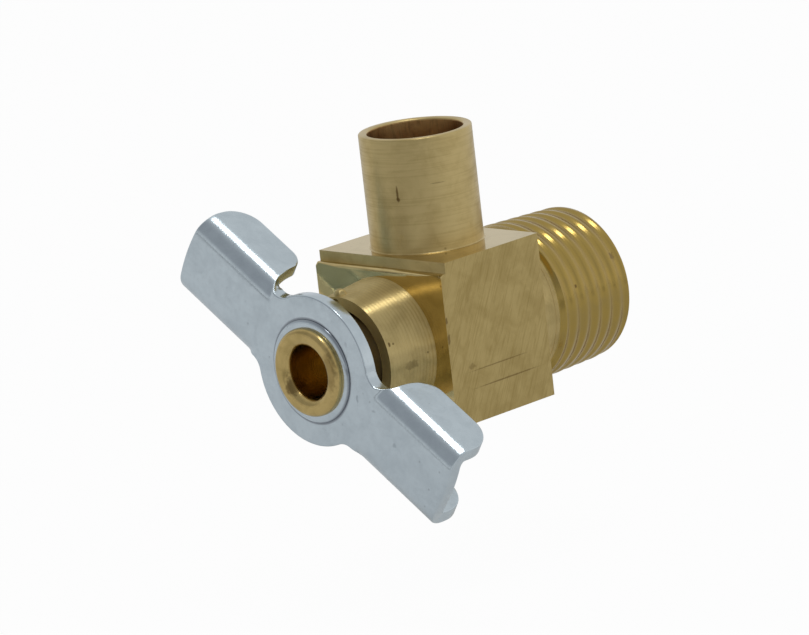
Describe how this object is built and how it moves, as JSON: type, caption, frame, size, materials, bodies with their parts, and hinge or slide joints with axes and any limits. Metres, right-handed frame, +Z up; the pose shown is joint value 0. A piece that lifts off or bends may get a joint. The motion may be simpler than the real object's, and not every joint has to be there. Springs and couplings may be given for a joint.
{
  "type": "air relief valve",
  "caption": "Brass air relief valve: square block with a tapered male inlet thread, a thin outlet tube on top and a screw stem turned by a plated wing handle.",
  "frame": {"origin": "on the inlet axis at the plane where the inlet thread begins, next to the plain neck", "axes": "+Y out along the inlet thread, +Z up along the outlet tube, handle towards -Y"},
  "size_m": [0.0304, 0.0325, 0.0291],
  "materials": {
    "body_brass": "machined, fine turning and saw marks",
    "tube_brass": "drawn tube, fine ring lines",
    "stem_brass": "polished where it is rolled over",
    "ring_rubber": "matt",
    "zinc_plate": "zinc plated, lightly scuffed",
    "washer_plate": "zinc plated"
  },
  "bodies": {
    "body": {"valve_body": "body_brass", "outlet_tube": "tube_brass"},
    "ring_carrier": {"stem_o_ring": "ring_rubber"},
    "handle": {"stem": "stem_brass", "wing_handle": "zinc_plate", "rivet_washer": "washer_plate"}
  },
  "joints": [
    {"name": "stem_travel", "type": "slide", "parent": "body", "child": "ring_carrier", "axis": [0, -1, 0], "range_m": [0, 0.0018]},
    {"name": "handle_turn", "type": "hinge", "parent": "ring_carrier", "child": "handle", "pos_m": [0, -0.0222, 0], "axis": [0, -1, 0], "range_deg": [0, 630]}
  ],
  "couplings": [
    {"joint": "stem_travel", "follows": "handle_turn", "m_per_rad": 0.00015915}
  ]
}
